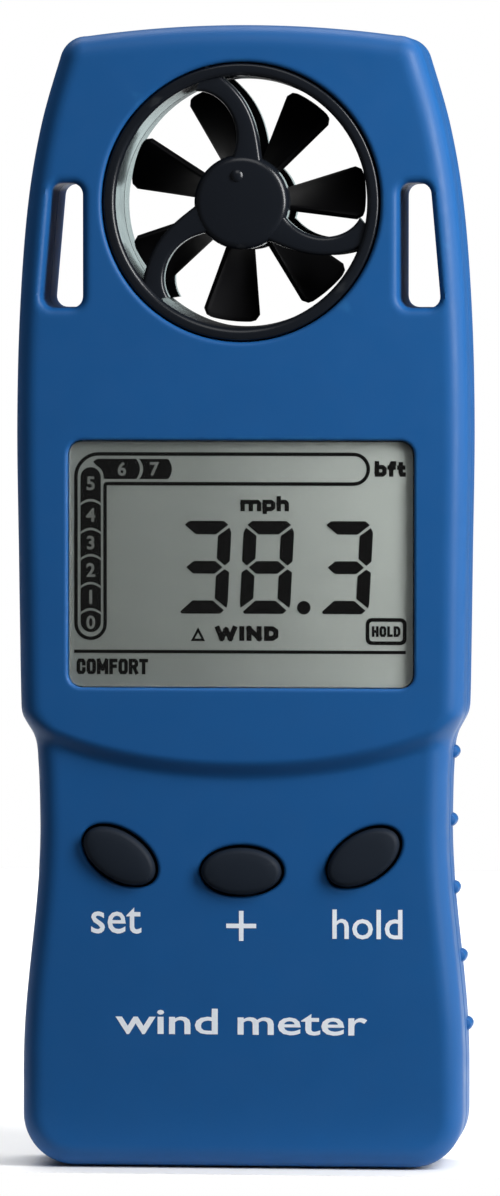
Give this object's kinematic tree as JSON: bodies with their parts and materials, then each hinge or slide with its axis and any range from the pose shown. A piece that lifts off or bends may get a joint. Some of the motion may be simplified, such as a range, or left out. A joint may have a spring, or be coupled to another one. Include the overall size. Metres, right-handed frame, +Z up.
{
  "type": "handheld weather meter",
  "caption": "Pocket wind meter: flat case with a waisted grip, round guarded fan opening, segment display window, oval keys, lanyard slots and a round battery door behind.",
  "frame": {"origin": "middle of the flat foot of the case, on the surface it stands on", "axes": "+Z up along the case from the grip to the fan, the face with display and keys looks along -Y, +X to the reader's right"},
  "size_m": [0.0556, 0.018, 0.14],
  "materials": {
    "case_blue": "fine satin grain on blue plastic",
    "fan_black": "glossy black plastic",
    "impeller_black": "semi-matt black plastic",
    "steel": "bright steel",
    "nickel": "nickel-plated spring metal",
    "jewel": "polished red jewel",
    "magnet": "dull grey magnet",
    "window_clear": "clear, polished",
    "frame_white": "matt white plastic",
    "lcd_glass": "grey-green display glass",
    "reflector": "satin reflector film",
    "elastomer": "pink elastomer connector",
    "board_green": "green solder mask",
    "epoxy_black": "glossy black epoxy",
    "crystal_can": "bright metal can",
    "capacitor_sleeve": "dark blue sleeve",
    "sensor_black": "moulded black body",
    "mat_rubber": "soft grey rubber",
    "key_rubber": "matt dark rubber",
    "carbon_pill": "matt carbon-filled rubber",
    "seal_rubber": "matt black rubber"
  },
  "bodies": {
    "case": {"front_shell": "case_blue", "rear_shell": "case_blue", "case_seal": "seal_rubber", "case_screw_upper_left": "steel", "case_screw_upper_right": "steel", "case_screw_lower_left": "steel", "case_screw_lower_right": "steel", "fan_housing_front": "fan_black", "fan_housing_rear": "fan_black", "front_bearing": "jewel", "rear_bearing": "jewel", "display_window": "window_clear", "lcd_frame": "frame_white", "lcd_panel": "lcd_glass", "lcd_reflector": "reflector", "zebra_strip_upper": "elastomer", "zebra_strip_lower": "elastomer", "circuit_board": "board_green", "processor": "epoxy_black", "quartz_crystal": "crystal_can", "capacitor": "capacitor_sleeve", "wind_pickup": "sensor_black", "temperature_sensor": "frame_white", "board_screw_left": "steel", "board_screw_right": "steel", "keypad_mat": "mat_rubber", "coin_cell": "steel", "positive_contact": "nickel", "negative_contact": "nickel"},
    "impeller": {"impeller": "impeller_black", "axle": "steel", "impeller_magnet": "magnet"},
    "set_key": {"set_button": "key_rubber", "set_contact_pill": "carbon_pill"},
    "plus_key": {"plus_button": "key_rubber", "plus_contact_pill": "carbon_pill"},
    "hold_key": {"hold_button": "key_rubber", "hold_contact_pill": "carbon_pill"},
    "battery_door": {"battery_door": "case_blue", "battery_door_seal": "seal_rubber"}
  },
  "joints": [
    {"name": "impeller_spin", "type": "hinge", "parent": "case", "child": "impeller", "pos_m": [0, 0, 0.1184], "axis": [0, -1, 0], "continuous": true},
    {"name": "set_button_press", "type": "slide", "parent": "case", "child": "set_key", "axis": [0, 1, 0], "range_m": [0, 0.0008], "stiffness_N_per_m": 1500, "springref_m": -0.0004},
    {"name": "plus_button_press", "type": "slide", "parent": "case", "child": "plus_key", "axis": [0, 1, 0], "range_m": [0, 0.0008], "stiffness_N_per_m": 1500, "springref_m": -0.0004},
    {"name": "hold_button_press", "type": "slide", "parent": "case", "child": "hold_key", "axis": [0, 1, 0], "range_m": [0, 0.0008], "stiffness_N_per_m": 1500, "springref_m": -0.0004},
    {"name": "battery_door_turn", "type": "hinge", "parent": "case", "child": "battery_door", "pos_m": [0, 0.0085, 0.036], "axis": [0, 1, 0], "range_deg": [0, 45]}
  ]
}
